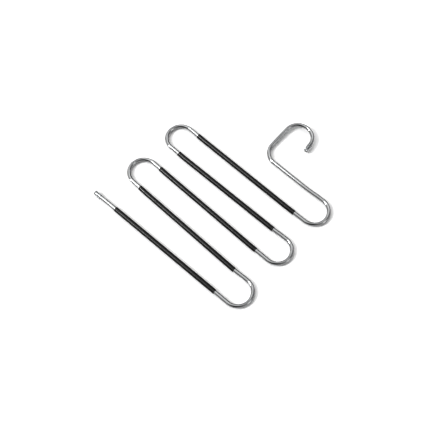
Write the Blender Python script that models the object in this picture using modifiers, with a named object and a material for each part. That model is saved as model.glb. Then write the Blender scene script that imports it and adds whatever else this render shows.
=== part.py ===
"""Trouser hanger: one thin steel tube bent into five bars and a hook, with grip sleeves and end caps.

The hanger lies flat on its sleeves. +X runs along the bars towards the bend that carries the top run,
+Y runs from the lowest bar to the hook, and +Z is up. Lengths are in metres.
"""

import math

import bpy
import numpy as np
from mathutils import Matrix, Vector

# Tube
tube_diameter = 0.0070
tube_wall = 0.0005
bend_radius = 0.025
neck_radius = 0.0238
bar_straight = 0.268
free_end_overhang = 0.0330
top_run_straight = 0.1134
cross_run_straight = 0.0428
hook_tail_straight = 0.0148

# How much longer each bar's straight, and how much wider each bar's bend, came off the jig, from the lowest bar up
straight_errors = (0.0014, 0.0023, 0.0001, -0.0010, -0.0016)
radius_errors = (-0.00055, 0.0003, -0.0003, 0.0, 0.0006)

# Turn of each bend in degrees, from the lowest bar to the hook, as the bending jig left them
turn_lowest_bend = 178.1
turn_second_bend = 179.9
turn_third_bend = 181.25
turn_fourth_bend = 180.6
turn_highest_bend = 180.0
turn_neck = 89.2
turn_hook = 171.5
hook_lift_degrees = 2.6

# Grip sleeves
sleeve_diameter = 0.0085
sleeve_length = 0.225
sleeve_clearance = 0.0003
sleeve_edge_round = 0.0002
# How much longer each sleeve was cut, from bar 1, the highest
sleeve_errors = (-0.0004, -0.0058, 0.0008, -0.0015, 0.0023)
# Share of each bar's spare straight that lies between its sleeve and the bend at +X, from bar 1, the highest
sleeve_spare_shares = (0.538, 0.617, 0.610, 0.641, 0.665)

# End caps
cap_diameter = 0.0085
cap_length = 0.014
cap_end_wall = 0.0016
cap_clearance = 0.0003
cap_edge_round = 0.0009

# Facets
facets_round = 16
facets_per_half_turn = 18
cap_round_steps = 4
sharp_from_degrees = 40
# Points of a turned profile this near the axis become one
axis_merge = 0.00001

half_facet = math.pi / facets_round
bar_straights = [bar_straight + error for error in straight_errors]
bend_radii = [bend_radius + error for error in radius_errors]
sleeve_lengths = [sleeve_length + error for error in sleeve_errors]
tube_radius = tube_diameter / 2
sleeve_radius = sleeve_diameter / 2
cap_radius = cap_diameter / 2
# The sleeves carry the hanger on their flat undersides
axis_height = sleeve_radius * math.cos(half_facet)


def clear_scene():
    for old in list(bpy.data.objects):
        bpy.data.objects.remove(old, do_unlink=True)


def make_material(name, colour, roughness, metallic, transmission=0.0):
    material = bpy.data.materials.new(name)
    material.use_nodes = True
    shader = material.node_tree.nodes["Principled BSDF"]
    shader.inputs["Base Color"].default_value = (*colour, 1.0)
    shader.inputs["Roughness"].default_value = roughness
    shader.inputs["Metallic"].default_value = metallic
    shader.inputs["Transmission Weight"].default_value = transmission
    material.diffuse_color = (*colour, 1.0)
    return material


def way(heading):
    """Unit vector at this heading in the plane of the bars."""
    return Vector((math.cos(heading), math.sin(heading), 0))


class Path:
    """Centre line of the tube: straights and bends laid end to end, with the place where each leg starts."""

    def __init__(self, heading):
        self.heading = heading
        self.points = [Vector((0, 0, 0))]
        self.starts = []

    def mark(self):
        self.starts.append((self.points[-1].copy(), self.heading))

    def straight(self, length):
        self.mark()
        self.points.append(self.points[-1] + length * way(self.heading))

    def bend(self, degrees, radius):
        """Turns to the left where degrees is positive."""
        self.mark()
        side = math.copysign(1, degrees)
        spoke = side * radius * way(self.heading + math.pi / 2)
        centre = self.points[-1] + spoke
        steps = max(1, round(abs(degrees) / 180 * facets_per_half_turn))
        for step in range(1, steps + 1):
            turned = math.radians(degrees) * step / steps
            self.points.append(centre - Matrix.Rotation(turned, 3, "Z") @ spoke)
        self.heading += math.radians(degrees)


def lay_path():
    """The whole tube from the free end of the lowest bar to the hook's tip, with the top run along -X."""
    bar_turns = (turn_lowest_bend, -turn_second_bend, turn_third_bend, -turn_fourth_bend, turn_highest_bend)
    path = Path(math.pi - math.radians(sum(bar_turns)))
    straights = [free_end_overhang + bar_straights[0], *bar_straights[1:]]
    for straight, turn, radius in zip(straights, bar_turns, bend_radii):
        path.straight(straight)
        path.bend(turn, radius)
    path.straight(top_run_straight)
    hook_from = len(path.points)
    path.bend(-turn_neck, neck_radius)
    path.straight(cross_run_straight)
    path.bend(-turn_hook, bend_radius)
    path.straight(hook_tail_straight)
    path.mark()
    return path, hook_from


def lift_hook(path, hook_from):
    """Turns the hook out of the plane of the bars, about the top run."""
    pivot = Matrix.Translation(path.points[hook_from - 1])
    lift = pivot @ Matrix.Rotation(math.radians(hook_lift_degrees), 4, "X") @ pivot.inverted()
    for index in range(hook_from, len(path.points)):
        path.points[index] = lift @ path.points[index]
    return lift


def bent_tube(points, material, collection):
    """A polyline swept with the tube's round section, open at both ends, with the wall turned inwards."""
    curve = bpy.data.curves.new("bent_tube", "CURVE")
    curve.dimensions = "3D"
    curve.twist_mode = "Z_UP"
    curve.bevel_depth = tube_radius
    curve.bevel_resolution = facets_round // 2 - 2
    curve.use_fill_caps = False
    spline = curve.splines.new("POLY")
    spline.points.add(len(points) - 1)
    spline.points.foreach_set("co", [value for point in points for value in (*point, 1)])
    for point in spline.points:
        point.tilt = half_facet
    curve.materials.append(material)
    tube = bpy.data.objects.new("bent_tube", curve)
    collection.objects.link(tube)
    wall = tube.modifiers.new("wall", "SOLIDIFY")
    wall.thickness = tube_wall
    wall.offset = -1
    wall.use_even_offset = True
    return tube


def turned_piece(name, profile, closed, material, collection):
    """Profile of (along, radius) pairs turned about the local X axis, with sharp rims and smooth sides.

    It starts half a facet off the underside, so that the piece has a flat below, like the tube.
    """
    outline = bpy.data.meshes.new(name + "_profile")
    down = Matrix.Rotation(half_facet, 3, "X") @ Vector((0, 0, -1))
    corners = [Vector((along, 0, 0)) + radius * down for along, radius in profile]
    edges = [(index, index + 1) for index in range(len(profile) - 1)]
    if closed:
        edges.append((len(profile) - 1, 0))
    outline.from_pydata(corners, edges, [])
    former = bpy.data.objects.new(name + "_profile", outline)
    collection.objects.link(former)
    turn = former.modifiers.new("turn", "SCREW")
    turn.axis = "X"
    turn.steps = facets_round
    turn.render_steps = facets_round
    turn.use_merge_vertices = True
    turn.merge_threshold = axis_merge
    graph = bpy.context.evaluated_depsgraph_get()
    mesh = bpy.data.meshes.new_from_object(former.evaluated_get(graph))
    bpy.data.objects.remove(former, do_unlink=True)
    bpy.data.meshes.remove(outline)
    mesh.name = name
    mesh.shade_smooth()
    mesh.set_sharp_from_angle(angle=math.radians(sharp_from_degrees))
    mesh.materials.append(material)
    piece = bpy.data.objects.new(name, mesh)
    collection.objects.link(piece)
    return piece


def sleeve_profile(length):
    """Wall of a sleeve in section: down the bore and back along the outside, with eased outer edges."""
    bore = tube_radius + sleeve_clearance
    return [
        (0, bore),
        (length, bore),
        (length, sleeve_radius - sleeve_edge_round),
        (length - sleeve_edge_round, sleeve_radius),
        (sleeve_edge_round, sleeve_radius),
        (0, sleeve_radius - sleeve_edge_round),
    ]


def cap_profile():
    """A cup in section: from the axis over a rounded end, back along the outside, and down the bore to its floor."""
    bore = tube_radius + cap_clearance
    floor = cap_length - cap_end_wall
    rounded = []
    for step in range(cap_round_steps + 1):
        angle = math.pi / 2 * step / cap_round_steps
        along = cap_length - cap_edge_round * (1 - math.cos(angle))
        rounded.append((along, cap_radius - cap_edge_round * (1 - math.sin(angle))))
    return [(cap_length, 0), *rounded, (0, cap_radius), (0, bore), (floor, bore), (floor, 0)]


def put(piece, place, heading, tilt=None):
    """Seats a turned piece with its local X along the heading, then tilts it with the hook if asked."""
    seat = Matrix.Translation(place) @ Matrix.Rotation(heading, 4, "Z")
    piece.matrix_world = tilt @ seat if tilt else seat


def centre_on_origin(frame, pieces):
    """Moves the frame so that the pieces' box is centred over the origin, with the bars' axis at its height."""
    bpy.context.view_layer.update()
    graph = bpy.context.evaluated_depsgraph_get()
    clouds = []
    for piece in pieces:
        evaluated = piece.evaluated_get(graph)
        mesh = evaluated.to_mesh()
        clouds.append(np.array([evaluated.matrix_world @ vertex.co for vertex in mesh.vertices]))
        evaluated.to_mesh_clear()
    cloud = np.concatenate(clouds)
    middle = (cloud.min(axis=0) + cloud.max(axis=0)) / 2
    frame.location = (-middle[0], -middle[1], axis_height)
    for piece in pieces:
        piece.parent = frame
    bpy.context.view_layer.update()


def build():
    clear_scene()
    hanger = bpy.data.collections.new("trouser_hanger")
    bpy.context.scene.collection.children.link(hanger)
    steel = make_material("polished_steel", (0.78, 0.79, 0.80), 0.12, 1.0)
    grip = make_material("black_grip", (0.012, 0.012, 0.013), 0.45, 0.0)
    clear_cap = make_material("clear_cap", (0.86, 0.87, 0.88), 0.15, 0.0, 0.6)

    path, hook_from = lay_path()
    lift = lift_hook(path, hook_from)
    pieces = [bent_tube(path.points, steel, hanger)]

    # Legs 0, 2, 4, 6 and 8 are the bars from the lowest up. Odd ones of them end at +X.
    bar_legs = {5: 0, 4: 2, 3: 4, 2: 6, 1: 8}
    for bar, (length, spare_share) in enumerate(zip(sleeve_lengths, sleeve_spare_shares), start=1):
        start, heading = path.starts[bar_legs[bar]]
        near_bend = (bar_straights[-bar] - length) * spare_share
        if bar % 2:
            end = path.starts[bar_legs[bar] + 1][0]
            place = end - (near_bend + length) * way(heading)
        else:
            place = start + near_bend * way(heading)
        sleeve = turned_piece(f"grip_sleeve_{bar}", sleeve_profile(length), True, grip, hanger)
        put(sleeve, place, heading)
        pieces.append(sleeve)

    # Each cap's floor stands one clearance off the tube's end
    cap_reach = cap_length - cap_end_wall - cap_clearance
    start, heading = path.starts[0]
    bar_cap = turned_piece("bar_end_cap", cap_profile(), False, clear_cap, hanger)
    put(bar_cap, start + cap_reach * way(heading), heading + math.pi)
    pieces.append(bar_cap)

    end, heading = path.starts[-1]
    hook_cap = turned_piece("hook_tip_cap", cap_profile(), False, clear_cap, hanger)
    put(hook_cap, end - cap_reach * way(heading), heading, lift)
    pieces.append(hook_cap)

    frame = bpy.data.objects.new("hanger_frame", None)
    hanger.objects.link(frame)
    centre_on_origin(frame, pieces)


build()
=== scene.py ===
"""Trouser hanger: the looks of the bent steel tube, its black grip sleeves and its clear end caps.

The tube's centre line is worked out as in the solid, with small errors to its side that the solid doesn't have.
Every piece is a round profile carried along that line. Lengths are in metres. +X runs along the bars, +Y from
the lowest bar to the hook, and +Z is up.
"""

import math

import bpy
import numpy as np
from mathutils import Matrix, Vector


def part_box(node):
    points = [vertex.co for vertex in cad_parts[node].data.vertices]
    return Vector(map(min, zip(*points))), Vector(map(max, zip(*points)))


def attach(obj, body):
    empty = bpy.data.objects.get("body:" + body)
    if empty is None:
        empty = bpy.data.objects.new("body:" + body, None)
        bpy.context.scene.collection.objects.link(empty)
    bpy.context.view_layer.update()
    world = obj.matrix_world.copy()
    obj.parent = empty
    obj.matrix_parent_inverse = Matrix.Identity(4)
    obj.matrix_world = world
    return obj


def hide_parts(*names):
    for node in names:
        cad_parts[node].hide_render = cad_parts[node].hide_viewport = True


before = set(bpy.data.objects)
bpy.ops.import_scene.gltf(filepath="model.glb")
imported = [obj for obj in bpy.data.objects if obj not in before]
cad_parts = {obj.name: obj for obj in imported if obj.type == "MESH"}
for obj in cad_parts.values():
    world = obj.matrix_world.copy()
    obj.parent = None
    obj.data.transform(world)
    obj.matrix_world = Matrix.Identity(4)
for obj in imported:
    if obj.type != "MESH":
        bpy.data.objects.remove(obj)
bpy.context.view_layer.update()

# Tube
tube_diameter = 0.0070
tube_wall = 0.0005
tube_lip_round = 0.00018
bend_radius = 0.025
neck_radius = 0.0238
bar_straight = 0.268
free_end_overhang = 0.0330
top_run_straight = 0.1134
cross_run_straight = 0.0428
hook_tail_straight = 0.0148
# How much longer each bar's straight, and how much wider its bend, came off the jig, from the lowest bar up
straight_errors = (0.0014, 0.0023, 0.0001, -0.0010, -0.0016)
radius_errors = (-0.00055, 0.0003, -0.0003, 0.0, 0.0006)
# Turn of each bend in degrees, from the lowest bar to the hook. A turn to the left is positive.
bar_turns = (178.1, -179.9, 181.25, -180.6, 180.0)
turn_neck = -89.2
turn_hook = -171.5
hook_lift_degrees = 2.6
# The bending die squeezes the tube a little across each bend, over this length from the bend's ends
bend_squeeze_share = 0.03
bend_squeeze_run_in = 0.006
# How far the tube stands to the left of the plain straights and bends, leg by leg from the free end: at the
# leg's start, and then at its middle or, in a longer leg, one settling length from its start. A bar keeps this
# second value as far as one settling length from its end. Last comes the value at the tube's tip.
side_errors = (
    (-0.0006, -0.0001), (-0.0002, -0.0004), (-0.0018, 0.0), (-0.0006, 0.0006), (0.0005, -0.0001),
    (0.0006, -0.0001), (-0.0013, 0.0), (-0.00075, 0.0005), (0.0006, -0.0001), (0.0007, -0.0001),
    (-0.0008, 0.0008), (0.0004, -0.0001), (0.0002, 0.0006), (0.0005, 0.0), (0.0003, 0.0002),
)
side_error_tip = 0.0002
settling_length = 0.040
# Only the bars are longer than this
longest_other_leg = 0.16

# Grip sleeves
sleeve_diameter = 0.0085
sleeve_length = 0.225
sleeve_clearance = 0.00005
sleeve_edge_round = 0.00035
# How much longer each sleeve was cut, from bar 1, the highest
sleeve_errors = (-0.0004, -0.0058, 0.0008, -0.0015, 0.0023)
# Share of each bar's spare straight that lies between its sleeve and the bend at +X, from bar 1
sleeve_spare_shares = (0.538, 0.617, 0.610, 0.641, 0.665)

# End caps
cap_diameter = 0.0085
cap_length = 0.014
cap_end_wall = 0.0016
cap_floor_gap = 0.0003
cap_bore_clearance = 0.00004
cap_edge_round = 0.0009
cap_rim_round = 0.0002
cap_mouth_round = 0.00012
cap_corner_round = 0.00025

# Photograph's camera
camera_lens = 70.0
camera_azimuth_degrees = 42.62
camera_elevation_degrees = 64.99
camera_distance = 1.4316
camera_aim = Vector((0.01641, -0.06406, 0.00415))
camera_sees_from = 0.05

# Studio: soft lights in a dark room. Each has its bearing, its elevation, how far out from its middle it is
# full, how far out it is gone, and its brightness. All but the last are in degrees. Bearings go round the
# hanger, from the photograph's right towards the far side.
soft_lights = {
    "key": (188, 39, 1, 6, 40.8),
    "key_above": (188, 44, 1, 6, 16.9),
    "key_beside": (195, 54, 1, 6, 6.2),
    "key_top": (188, 59, 1, 6, 5.7),
    "left_wash": (180, 50, 15, 50, 0.85),
    "right_wash": (0, 50, 15, 50, 0.45),
    "near_wash": (300, 20, 15, 50, 0.31),
    "right_low": (333, 26, 3, 15, 1.69),
    "far_right": (45, 42, 3, 15, 0.87),
    "far_right_middle": (68, 42, 3, 15, 0.6),
    "far_middle": (90, 42, 3, 15, 1.06),
    "far_high": (75, 58, 3, 15, 0.85),
    "far_left_high": (105, 58, 3, 15, 0.73),
    "far_left_top": (120, 74, 3, 15, 0.75),
    "far_left_low": (117, 26, 3, 15, 1.11),
    "left_low": (135, 26, 3, 15, 1.21),
}
# Tone curve of the photograph, among Blender's own
photo_look = "Very High Contrast"

# Noise that drives the finishes. Its counts are per metre along and across the tube, and its kind is its detail
# and roughness. A range of its values is spread over a finish's two values.
whole_share = (0.0, 1.0)
middle_range = (0.3, 0.7)

# Chrome plating, with its roughness along the polishing lines
steel_colour = (0.37, 0.373, 0.376)
steel_haze_colour = (0.35, 0.352, 0.355)
steel_roughness = (0.025, 0.045)
steel_haze_roughness = 0.02
steel_rub_roughness = 0.08
steel_rub_share = (0.3, 1.0)
steel_rub_range = (0.35, 0.65)
polish_lines_per_metre = (30, 5000)
polish_line_kind = (3.0, 0.6)
polish_line_depth = 0.000002
haze_patches_per_metre = (70, 160)
haze_kind = (4.0, 0.55)
haze_range = (0.48, 0.72)
tube_rub_reach = 0.0012

# Black sleeves
grip_colour = (0.004, 0.004, 0.0042)
grip_pebble_colour = (0.007, 0.007, 0.0072)
grip_rub_colour = (0.02, 0.02, 0.0205)
grip_rub_share = 0.5
grip_rub_range = (0.4, 0.62)
grip_gloss = 0.6
grip_roughness = (0.2, 0.26)
# Duller and glossier patches as large as the steel's haze
grip_patch_roughness = (-0.02, 0.02)
grip_patch_kind = (3.0, 0.6)
grip_patch_range = (0.35, 0.65)
pebbles_per_metre = (1800, 2600)
pebble_kind = (3.0, 0.55)
pebble_depth = 0.00002
extrusion_lines_per_metre = (40, 1600)
extrusion_line_kind = (2.0, 0.5)
extrusion_line_share = 0.5
sleeve_rub_reach = 0.0016

# Clear caps
cap_colour = (0.92, 0.93, 0.935)
cap_scuff_colour = (0.97, 0.97, 0.97)
cap_index = 1.53
cap_roughness = (0.03, 0.07)
cap_scuff_roughness = 0.2
cap_scuff_range = (0.45, 0.62)
cap_skin_per_metre = (260, 500)
cap_skin_kind = (3.0, 0.55)
cap_skin_depth = 0.000004
cap_rub_reach = 0.0008

# Studio paper, so wide that a low view doesn't see past it
floor_size = 400
paper_colours = ((0.885, 0.885, 0.885), (0.9, 0.9, 0.9))
paper_gloss = 0.1
paper_roughness = (0.8, 0.95)
paper_tooth_per_metre = 900
paper_tooth_kind = (2.0, 0.5)
paper_tooth_depth = 0.00003

# Fineness of the surfaces
degrees_per_ring = 2
metres_per_ring = 0.005
degrees_per_bore_ring = 6
metres_per_bore_ring = 0.02
# Rings beside a rubbed place of the tube: how many rub reaches they go to each side, and how many there are
rub_reaches_ringed = 3
rub_rings = 13
# Rings of the tube that agree to this many decimals become one
station_decimals = 7
sides_tube = 64
sides_sleeve = 72
rings_sleeve = 60
sides_cap = 96
rings_cap = 16
# The ring that keeps the caps' flat ends flat, as a share of their radius
cap_flat_ring = 0.95
steps_edge = 5
steps_cap_end = 10
# Height over the floor at which undersides are pressed flat
floor_touch = 0.00002

bar_straights = [bar_straight + error for error in straight_errors]
bend_radii = [bend_radius + error for error in radius_errors]
sleeve_lengths = [sleeve_length + error for error in sleeve_errors]
tube_radius = tube_diameter / 2
sleeve_radius = sleeve_diameter / 2
cap_radius = cap_diameter / 2
# Legs are counted from the free end. Each bar and its bend take two, and the top run comes after them.
top_run_leg = 2 * len(bar_straights)


class CentreLine:
    """The tube's centre line as a function of the length along it: straights and bends, with their side errors.

    A leg has a length, a turn and a radius. A straight has no turn, and its radius of 1 has no effect. The first
    heading is such that the top run lies along -X.
    """

    def __init__(self):
        first_straight = free_end_overhang + bar_straights[0]
        straights = [first_straight, *bar_straights[1:], top_run_straight, cross_run_straight]
        turns = np.radians([*bar_turns, turn_neck, turn_hook])
        radii = [*bend_radii, neck_radius, bend_radius]
        legs = []
        for straight, turn, radius in zip(straights, turns, radii):
            legs.append((straight, 0.0, 1.0))
            legs.append((abs(turn) * radius, turn, radius))
        legs.append((hook_tail_straight, 0.0, 1.0))
        self.lengths, self.turns, self.radii = np.array(legs).T
        self.starts = np.concatenate([[0.0], np.cumsum(self.lengths)[:-1]])
        self.length = self.lengths.sum()
        first_heading = math.pi - math.radians(sum(bar_turns))
        self.headings = first_heading + np.concatenate([[0.0], np.cumsum(self.turns)[:-1]])
        self.places = np.zeros((len(legs), 2))
        for leg in range(1, len(legs)):
            self.places[leg] = self.flat_place(np.array([self.starts[leg]]), np.array([leg - 1]))[0]
        self.hook_from = top_run_leg + 1
        self.origin = np.zeros(3)
        knots = [(self.length, side_error_tip)]
        for start, length, (at_start, settled) in zip(self.starts, self.lengths, side_errors):
            inset = min(settling_length, length / 2)
            knots += [(start, at_start), (start + inset, settled)]
            if length > longest_other_leg:
                knots.append((start + length - inset, settled))
        self.knots, self.knot_errors = np.array(sorted(knots)).T

    def stand_out(self, along):
        """Side error and its slope. The error is level at each knot.

        From one knot to the next it is e0 + (e1 - e0) t t (3 - 2 t), with t from 0 to 1.
        """
        knot = np.clip(np.searchsorted(self.knots, along, side="right") - 1, 0, len(self.knots) - 2)
        run = self.knots[knot + 1] - self.knots[knot]
        share = (along - self.knots[knot]) / run
        change = self.knot_errors[knot + 1] - self.knot_errors[knot]
        error = self.knot_errors[knot] + change * share * share * (3 - 2 * share)
        return error, 6 * change * share * (1 - share) / run

    def flat_place(self, along, leg):
        """A straight goes on at its heading. A bend goes round its centre, its own radius to its side."""
        gone = along - self.starts[leg]
        heading = self.headings[leg]
        turn = self.turns[leg]
        radius = self.radii[leg]
        ahead = np.stack([np.cos(heading), np.sin(heading)], axis=1)
        left = np.stack([-np.sin(heading), np.cos(heading)], axis=1)
        angle = np.where(turn == 0, 0.0, gone / radius)
        side = np.sign(turn)[:, None]
        unit_arc = np.sin(angle)[:, None] * ahead + side * (1 - np.cos(angle))[:, None] * left
        straight = gone[:, None] * ahead
        return self.places[leg] + np.where(turn[:, None] == 0, straight, radius[:, None] * unit_arc)

    def at(self, along):
        """Centre, side, up and squeeze at each length along.

        The side error moves the centre to its left, and its slope turns the heading. The hook's legs are turned
        up about the top run. The squeeze grows from 0 at a bend's ends to 1 over its run-in.
        """
        leg = np.clip(np.searchsorted(self.starts, along, side="right") - 1, 0, len(self.starts) - 1)
        gone = along - self.starts[leg]
        turned = np.where(self.turns[leg] == 0, 0.0, np.sign(self.turns[leg]) * gone / self.radii[leg])
        heading = self.headings[leg] + turned
        flat = np.zeros(len(along))
        error, slope = self.stand_out(along)
        plain_side = np.column_stack([-np.sin(heading), np.cos(heading), flat])
        centre = np.column_stack([self.flat_place(along, leg), flat]) + error[:, None] * plain_side
        heading = heading + np.arctan(slope)
        side = np.column_stack([-np.sin(heading), np.cos(heading), flat])
        up = np.column_stack([flat, flat, flat + 1])
        pivot = np.array([*self.places[self.hook_from], 0.0])
        lift = math.radians(hook_lift_degrees)
        level, rise = math.cos(lift), math.sin(lift)
        turn_up = np.array([[1, 0, 0], [0, level, -rise], [0, rise, level]])
        lifted = (leg >= self.hook_from)[:, None]
        centre = np.where(lifted, (centre - pivot) @ turn_up.T + pivot, centre)
        side = np.where(lifted, side @ turn_up.T, side)
        up = np.where(lifted, up @ turn_up.T, up)
        left_over = self.lengths[leg] - gone
        run = np.clip(np.minimum(gone, left_over) / bend_squeeze_run_in, 0, 1)
        squeeze = np.where(self.turns[leg] == 0, 0.0, run * run * (3 - 2 * run))
        return centre + self.origin, side, up, squeeze


line = CentreLine()


def sleeve_spans():
    """Start and end of each sleeve along the tube, from bar 1, the highest."""
    spans = []
    for bar, (length, share) in enumerate(zip(sleeve_lengths, sleeve_spare_shares), start=1):
        leg = top_run_leg - 2 * bar
        bar_end = line.starts[leg] + line.lengths[leg]
        near_bend = (bar_straights[-bar] - length) * share
        if bar % 2:
            spans.append((bar_end - near_bend - length, bar_end - near_bend))
        else:
            spans.append((line.starts[leg] + near_bend, line.starts[leg] + near_bend + length))
    return spans


def seat_line():
    """Moves the centre line so that the lowest bar's sleeve is centred where its solid is."""
    low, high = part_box("grip_sleeve_5")
    start, end = sleeve_spans()[-1]
    here = line.at(np.array([(start + end) / 2]))[0][0]
    line.origin = np.array((low + high) / 2) - here


def quarter(centre_along, centre_radius, reach_along, reach_radius, steps=steps_edge):
    """A quarter of an ellipse in the profile, from its radial side to its end side."""
    angle = np.linspace(0, math.pi / 2, steps)
    return centre_along + reach_along * np.sin(angle), centre_radius + reach_radius * np.cos(angle)


def crowded(start, end, rings):
    """Lengths along the tube that crowd to both ends: start + (end - start) (1 - cos u) / 2, u from 0 to pi."""
    return start + (end - start) * (1 - np.cos(np.linspace(0, math.pi, rings))) / 2


def joined(*parts):
    """Profile parts laid end to end, as lengths along the tube and radii."""
    along = np.concatenate([part[0] for part in parts])
    radius = np.concatenate([part[1] for part in parts])
    return along, radius


def back(part):
    return part[0][::-1], part[1][::-1]


def after_first(part):
    return part[0][1:], part[1][1:]


def before_last(part):
    return part[0][:-1], part[1][:-1]


def carried(name, profile, sides, material, worn, capped=False):
    """Round skin of a profile carried along the centre line.

    The point at length s and angle a is centre(s) + r (1 - q) cos(a) side(s) + r sin(a) up(s), with r the
    profile's radius there and q the share that the bend squeezes. What would be lower than floor_touch is
    pressed flat at that height.
    A capped profile starts and ends on the axis, and each of its two end rings is one point.
    Each point also keeps its place on the straightened tube, (s, r cos a, r sin a), and its wear from 0 to 1.
    """
    along, radius = profile
    centre, side, up, squeeze = line.at(along)
    angle = np.arange(sides) / sides * 2 * math.pi
    across = radius[:, None] * np.cos(angle)
    above = radius[:, None] * np.sin(angle)
    squeezed = across * (1 - bend_squeeze_share * squeeze)[:, None]
    points = centre[:, None] + squeezed[..., None] * side[:, None] + above[..., None] * up[:, None]
    points[..., 2] = np.maximum(points[..., 2], floor_touch)
    straightened = np.stack([np.broadcast_to(along[:, None], across.shape), across, above], axis=-1)
    wear = np.broadcast_to(worn[:, None], across.shape)

    rings = len(along)
    number = np.arange(rings * sides).reshape(rings, sides)
    if capped:
        number[0] = 0
        number[-1] = number[-1, 0]
        used = np.unique(number)
        number = np.searchsorted(used, number)
    else:
        used = number.ravel()
        number = np.concatenate([number, number[:1]])
    turned = np.roll(number, -1, axis=1)
    quads = np.stack([number[:-1], turned[:-1], turned[1:], number[1:]], axis=-1)
    points = points.reshape(-1, 3)[used]
    if inside_out(points, quads.reshape(-1, 4)):
        quads = quads[..., ::-1]
    if capped:
        near_fan, far_fan = triangles(quads[0]), triangles(quads[-1])
        faces = near_fan + quads[1:-1].reshape(-1, 4).tolist() + far_fan
    else:
        faces = quads.reshape(-1, 4).tolist()

    mesh = bpy.data.meshes.new(name)
    mesh.from_pydata(points, [], faces)
    kept = mesh.attributes.new("straightened", "FLOAT_VECTOR", "POINT")
    kept.data.foreach_set("vector", straightened.reshape(-1, 3)[used].astype(np.float32).ravel())
    kept = mesh.attributes.new("wear", "FLOAT", "POINT")
    kept.data.foreach_set("value", wear.reshape(-1)[used].astype(np.float32))
    piece = bpy.data.objects.new(name, mesh)
    bpy.context.scene.collection.objects.link(piece)
    mesh.materials.append(material)
    mesh.shade_smooth()
    return piece


def inside_out(points, quads):
    """Whether the faces enclose a negative volume: the sum of a . (b x c) / 6 over their triangles."""
    a, b, c, d = (points[quads[:, corner]] for corner in range(4))
    halves = (a * np.cross(b, c)).sum(axis=1) + (a * np.cross(c, d)).sum(axis=1)
    return halves.sum() < 0


def triangles(fan):
    """A ring of quads that meet in one point, without the corner that each has twice."""
    double = fan == np.roll(fan, 1, axis=1)
    return fan[~double].reshape(-1, 3).tolist()


def wear_near(along, places, reach):
    """Wear that is 1 at each place and dies away with the distance from the nearest: exp(-distance / reach)."""
    distance = np.abs(along[:, None] - np.array(places)).min(axis=1)
    return np.exp(-distance / reach)


def stations(start, end, degrees_apart, metres_apart):
    """Lengths along the tube between these two, no farther apart than asked and closer where it is rubbed."""
    found = [start, end]
    for first, length, turn in zip(line.starts, line.lengths, line.turns):
        steps = length / metres_apart if turn == 0 else abs(math.degrees(turn)) / degrees_apart
        count = int(steps) + 2
        found.extend(np.linspace(first, first + length, count))
    beside = np.linspace(-rub_reaches_ringed, rub_reaches_ringed, rub_rings) * tube_rub_reach
    for rim in rubbed_places():
        found.extend(rim + beside)
    found = np.unique(np.round(found, station_decimals))
    return found[(found >= start) & (found <= end)]


def rubbed_places():
    """Where the sleeves' ends and the caps' rims rub the tube."""
    cap_reach = cap_length - cap_end_wall - cap_floor_gap
    return [edge for span in sleeve_spans() for edge in span] + [cap_reach, line.length - cap_reach]


def bent_tube(material):
    """The outer wall from end to end, round the far lip, back along the bore, and round the near lip."""
    lip = tube_lip_round
    bore = tube_radius - tube_wall
    outer = stations(lip, line.length - lip, degrees_per_ring, metres_per_ring)
    inner = stations(lip, line.length - lip, degrees_per_bore_ring, metres_per_bore_ring)[::-1]
    far_out = quarter(line.length - lip, tube_radius - lip, lip, lip)
    far_in = back(quarter(line.length - lip, bore + lip, lip, -lip))
    near_in = quarter(lip, bore + lip, -lip, -lip)
    near_out = back(quarter(lip, tube_radius - lip, -lip, lip))
    profile = joined(
        (outer, np.full(len(outer), tube_radius)),
        after_first(far_out),
        far_in,
        (inner[1:-1], np.full(len(inner) - 2, bore)),
        near_in,
        before_last(near_out),
    )
    worn = wear_near(profile[0], rubbed_places(), tube_rub_reach)
    return carried("bent_tube_polished", profile, sides_tube, material, worn)


def sleeve(number, span, material):
    """A wall carried along the bar: its outside between eased rims, and back along its bore."""
    start, end = span
    ease = sleeve_edge_round
    bore = tube_radius + sleeve_clearance
    outer = crowded(start + ease, end - ease, rings_sleeve)
    profile = joined(
        (outer, np.full(len(outer), sleeve_radius)),
        after_first(quarter(end - ease, sleeve_radius - ease, ease, ease)),
        (outer[::-1], np.full(len(outer), bore)),
        before_last(back(quarter(start + ease, sleeve_radius - ease, -ease, ease))),
    )
    worn = wear_near(profile[0], span, sleeve_rub_reach)
    return carried(f"sleeve_{number}", profile, sides_sleeve, material, worn)


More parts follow.
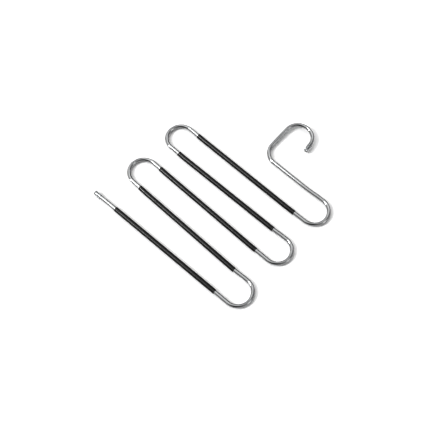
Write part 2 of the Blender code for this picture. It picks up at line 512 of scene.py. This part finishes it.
def cap(name, end, outwards, material):
    """A cup pushed over the tube's end: its closed end is outwards, +1 or -1 along the tube.

    The profile leaves the axis at the cup's floor, goes round its corner, along the bore, round the rim, back
    along the outside and round the closed end to the axis.
    """
    rim = end - outwards * (cap_length - cap_end_wall - cap_floor_gap)
    tip = rim + outwards * cap_length
    bore = tube_radius + cap_bore_clearance
    floor = end + outwards * cap_floor_gap
    floor_in = floor - outwards * cap_corner_round
    floor_radius = bore - cap_corner_round
    mouth = rim + outwards * cap_mouth_round
    rim_in = rim + outwards * cap_rim_round
    tip_in = tip - outwards * cap_edge_round
    tip_radius = cap_radius - cap_edge_round
    inside = crowded(floor_in, mouth, rings_cap)[1:-1]
    outside = crowded(rim_in, tip_in, rings_cap)[1:-1]
    profile = joined(
        (np.array([floor, floor]), np.array([0.0, floor_radius * cap_flat_ring])),
        back(quarter(floor_in, floor_radius, outwards * cap_corner_round, cap_corner_round)),
        (inside, np.full(len(inside), bore)),
        quarter(mouth, bore + cap_mouth_round, -outwards * cap_mouth_round, -cap_mouth_round),
        back(quarter(rim_in, cap_radius - cap_rim_round, -outwards * cap_rim_round, cap_rim_round)),
        (outside, np.full(len(outside), cap_radius)),
        quarter(tip_in, tip_radius, outwards * cap_edge_round, cap_edge_round, steps_cap_end),
        (np.array([tip, tip]), np.array([tip_radius * cap_flat_ring, 0.0])),
    )
    worn = wear_near(profile[0], [rim, tip], cap_rub_reach)
    return carried(name, profile, sides_cap, material, worn, capped=True)


def new_material(name):
    material = bpy.data.materials.new(name)
    material.use_nodes = True
    return material, material.node_tree, material.node_tree.nodes["Principled BSDF"]


def place_on_straight_tube(tree, per_metre_along, per_metre_across):
    """Each point's place on the straightened tube, stretched so that a texture has so many grains per metre."""
    kept = tree.nodes.new("ShaderNodeAttribute")
    kept.attribute_name = "straightened"
    stretched = tree.nodes.new("ShaderNodeMapping")
    stretched.inputs["Scale"].default_value = (per_metre_along, per_metre_across, per_metre_across)
    tree.links.new(kept.outputs["Vector"], stretched.inputs["Vector"])
    return stretched.outputs["Vector"]


def grain(tree, place, kind, scale=1.0):
    """Noise from 0 to 1 at these places, with its kind as detail and roughness."""
    noise = tree.nodes.new("ShaderNodeTexNoise")
    noise.inputs["Scale"].default_value = scale
    noise.inputs["Detail"].default_value, noise.inputs["Roughness"].default_value = kind
    tree.links.new(place, noise.inputs["Vector"])
    return noise.outputs["Fac"]


def spread(tree, value, span, onto):
    """The value carried from its span onto another pair of values, and held at both ends."""
    ranged = tree.nodes.new("ShaderNodeMapRange")
    for socket, number in zip(("From Min", "From Max", "To Min", "To Max"), (*span, *onto)):
        ranged.inputs[socket].default_value = number
    tree.links.new(value, ranged.inputs["Value"])
    return ranged.outputs["Result"]


def combined(tree, operation, first, second):
    """Sum, product or the like of a value and another value or a number."""
    both = tree.nodes.new("ShaderNodeMath")
    both.operation = operation
    tree.links.new(first, both.inputs[0])
    if isinstance(second, (int, float)):
        both.inputs[1].default_value = second
    else:
        tree.links.new(second, both.inputs[1])
    return both.outputs["Value"]


def shade_between(tree, share, first, second):
    """A colour from the first to the second with the share. The first may be another node's colour."""
    mixed = tree.nodes.new("ShaderNodeMix")
    mixed.data_type = "RGBA"
    if isinstance(first, tuple):
        mixed.inputs["A"].default_value = (*first, 1)
    else:
        tree.links.new(first, mixed.inputs["A"])
    mixed.inputs["B"].default_value = (*second, 1)
    tree.links.new(share, mixed.inputs["Factor"])
    return mixed.outputs["Result"]


def raised(tree, height, depth, shader):
    """Bump of this depth in metres from the height."""
    bump = tree.nodes.new("ShaderNodeBump")
    bump.inputs["Distance"].default_value = depth
    tree.links.new(height, bump.inputs["Height"])
    tree.links.new(bump.outputs["Normal"], shader.inputs["Normal"])


def wear_of(tree):
    kept = tree.nodes.new("ShaderNodeAttribute")
    kept.attribute_name = "wear"
    return kept.outputs["Fac"]


def polished_steel():
    """Bright plating: fine lines along the tube from its polishing, patches of haze, and dull rubbed rings."""
    material, tree, shader = new_material("polished_steel")
    shader.inputs["Metallic"].default_value = 1.0
    lines = grain(tree, place_on_straight_tube(tree, *polish_lines_per_metre), polish_line_kind)
    haze = grain(tree, place_on_straight_tube(tree, *haze_patches_per_metre), haze_kind)
    hazy = spread(tree, haze, haze_range, whole_share)
    rubbed = combined(tree, "MULTIPLY", wear_of(tree), spread(tree, lines, steel_rub_range, steel_rub_share))
    dull = spread(tree, lines, middle_range, steel_roughness)
    dull = combined(tree, "ADD", dull, combined(tree, "MULTIPLY", hazy, steel_haze_roughness))
    dull = combined(tree, "ADD", dull, combined(tree, "MULTIPLY", rubbed, steel_rub_roughness))
    tree.links.new(dull, shader.inputs["Roughness"])
    tree.links.new(shade_between(tree, hazy, steel_colour, steel_haze_colour), shader.inputs["Base Color"])
    raised(tree, lines, polish_line_depth, shader)
    return material


def black_grip():
    """Soft black sleeve: a fine pebbled skin with faint lines from its extrusion, greyer where its ends rub."""
    material, tree, shader = new_material("black_grip")
    shader.inputs["Specular IOR Level"].default_value = grip_gloss
    pebbles = grain(tree, place_on_straight_tube(tree, *pebbles_per_metre), pebble_kind)
    drawn = grain(tree, place_on_straight_tube(tree, *extrusion_lines_per_metre), extrusion_line_kind)
    patchy = grain(tree, place_on_straight_tube(tree, *haze_patches_per_metre), grip_patch_kind)
    rubbed = combined(tree, "MULTIPLY", wear_of(tree), spread(tree, pebbles, grip_rub_range, whole_share))
    pebbly = spread(tree, pebbles, middle_range, whole_share)
    skin = shade_between(tree, pebbly, grip_colour, grip_pebble_colour)
    skin = shade_between(tree, combined(tree, "MULTIPLY", rubbed, grip_rub_share), skin, grip_rub_colour)
    tree.links.new(skin, shader.inputs["Base Color"])
    dull = spread(tree, pebbles, middle_range, grip_roughness)
    dull = combined(tree, "ADD", dull, spread(tree, patchy, grip_patch_range, grip_patch_roughness))
    tree.links.new(dull, shader.inputs["Roughness"])
    height = combined(tree, "ADD", pebbles, combined(tree, "MULTIPLY", drawn, extrusion_line_share))
    raised(tree, height, pebble_depth, shader)
    return material


def clear_cap():
    """Soft clear plastic: slightly hazy, with a fine uneven skin and scuffs at its rim and its closed end."""
    material, tree, shader = new_material("clear_cap")
    shader.inputs["Transmission Weight"].default_value = 1.0
    shader.inputs["IOR"].default_value = cap_index
    skin = grain(tree, place_on_straight_tube(tree, *cap_skin_per_metre), cap_skin_kind)
    scuffed = combined(tree, "MULTIPLY", wear_of(tree), spread(tree, skin, cap_scuff_range, whole_share))
    dull = spread(tree, skin, middle_range, cap_roughness)
    dull = combined(tree, "ADD", dull, combined(tree, "MULTIPLY", scuffed, cap_scuff_roughness))
    tree.links.new(dull, shader.inputs["Roughness"])
    tree.links.new(shade_between(tree, scuffed, cap_colour, cap_scuff_colour), shader.inputs["Base Color"])
    raised(tree, skin, cap_skin_depth, shader)
    return material


def pale_floor():
    """White studio paper with a faint tooth."""
    material, tree, shader = new_material("pale_floor")
    shader.inputs["Specular IOR Level"].default_value = paper_gloss
    place = tree.nodes.new("ShaderNodeTexCoord").outputs["Object"]
    tooth = grain(tree, place, paper_tooth_kind, paper_tooth_per_metre)
    tree.links.new(shade_between(tree, tooth, *paper_colours), shader.inputs["Base Color"])
    tree.links.new(spread(tree, tooth, middle_range, paper_roughness), shader.inputs["Roughness"])
    raised(tree, tooth, paper_tooth_depth, shader)
    return material


def bearing_way(bearing, elevation):
    """Unit vector from the hanger. Bearing 0 is the photograph's right and 90 is away from its camera."""
    turn = math.radians(bearing + camera_azimuth_degrees)
    rise = math.radians(elevation)
    return Vector((math.cos(turn) * math.cos(rise), math.sin(turn) * math.cos(rise), math.sin(rise)))


def soft_light(tree, name, way, bearing, elevation, full_to, gone_by, brightness):
    """Brightness of a direction: full up to one angle from the light's middle, and none from the other on."""
    facing = tree.nodes.new("ShaderNodeVectorMath")
    facing.name = f"{name}_facing"
    facing.operation = "DOT_PRODUCT"
    facing.inputs[1].default_value = bearing_way(bearing, elevation)
    tree.links.new(way, facing.inputs[0])
    level = tree.nodes.new("ShaderNodeMapRange")
    level.name = f"{name}_level"
    level.interpolation_type = "SMOOTHSTEP"
    level.inputs["From Min"].default_value = math.cos(math.radians(gone_by))
    level.inputs["From Max"].default_value = math.cos(math.radians(full_to))
    level.inputs["To Min"].default_value = 0.0
    level.inputs["To Max"].default_value = brightness
    tree.links.new(facing.outputs["Value"], level.inputs["Value"])
    return level.outputs["Result"]


def studio():
    """A dark room with soft lights that fade out at their edges."""
    world = bpy.data.worlds.new("studio")
    world.use_nodes = True
    tree = world.node_tree
    way = tree.nodes.new("ShaderNodeTexCoord").outputs["Generated"]
    total = None
    for name, measures in soft_lights.items():
        light = soft_light(tree, name, way, *measures)
        total = combined(tree, "ADD", total, light) if total else light
    background = tree.nodes["Background"]
    background.inputs["Color"].default_value = (1, 1, 1, 1)
    tree.links.new(total, background.inputs["Strength"])
    bpy.context.scene.world = world


def place_camera():
    azimuth = math.radians(camera_azimuth_degrees)
    elevation = math.radians(camera_elevation_degrees)
    level = math.cos(elevation)
    away = Vector((math.sin(azimuth) * level, -math.cos(azimuth) * level, math.sin(elevation)))
    data = bpy.data.cameras.new("camera")
    data.lens = camera_lens
    data.clip_start = camera_sees_from
    camera = bpy.data.objects.new("camera", data)
    camera.location = camera_aim + camera_distance * away
    camera.rotation_mode = "QUATERNION"
    camera.rotation_quaternion = (-away).to_track_quat("-Z", "Y")
    bpy.context.scene.collection.objects.link(camera)
    bpy.context.scene.camera = camera


seat_line()
tube = bent_tube(polished_steel())
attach(tube, "root")
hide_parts("bent_tube")
grip = black_grip()
for number, span in enumerate(sleeve_spans(), start=1):
    piece = sleeve(number, span, grip)
    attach(piece, "root")
    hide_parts(f"grip_sleeve_{number}")
clear = clear_cap()
cap_places = (("bar_cap", "bar_end_cap", 0.0, -1), ("hook_cap", "hook_tip_cap", line.length, 1))
for name, node, end, outwards in cap_places:
    piece = cap(name, end, outwards, clear)
    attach(piece, "root")
    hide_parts(node)

bpy.ops.mesh.primitive_plane_add(size=floor_size)
floor = bpy.context.object
floor.name = "floor"
floor.data.materials.append(pale_floor())
studio()
place_camera()
bpy.context.scene.view_settings.view_transform = "Standard"
bpy.context.scene.view_settings.look = photo_look
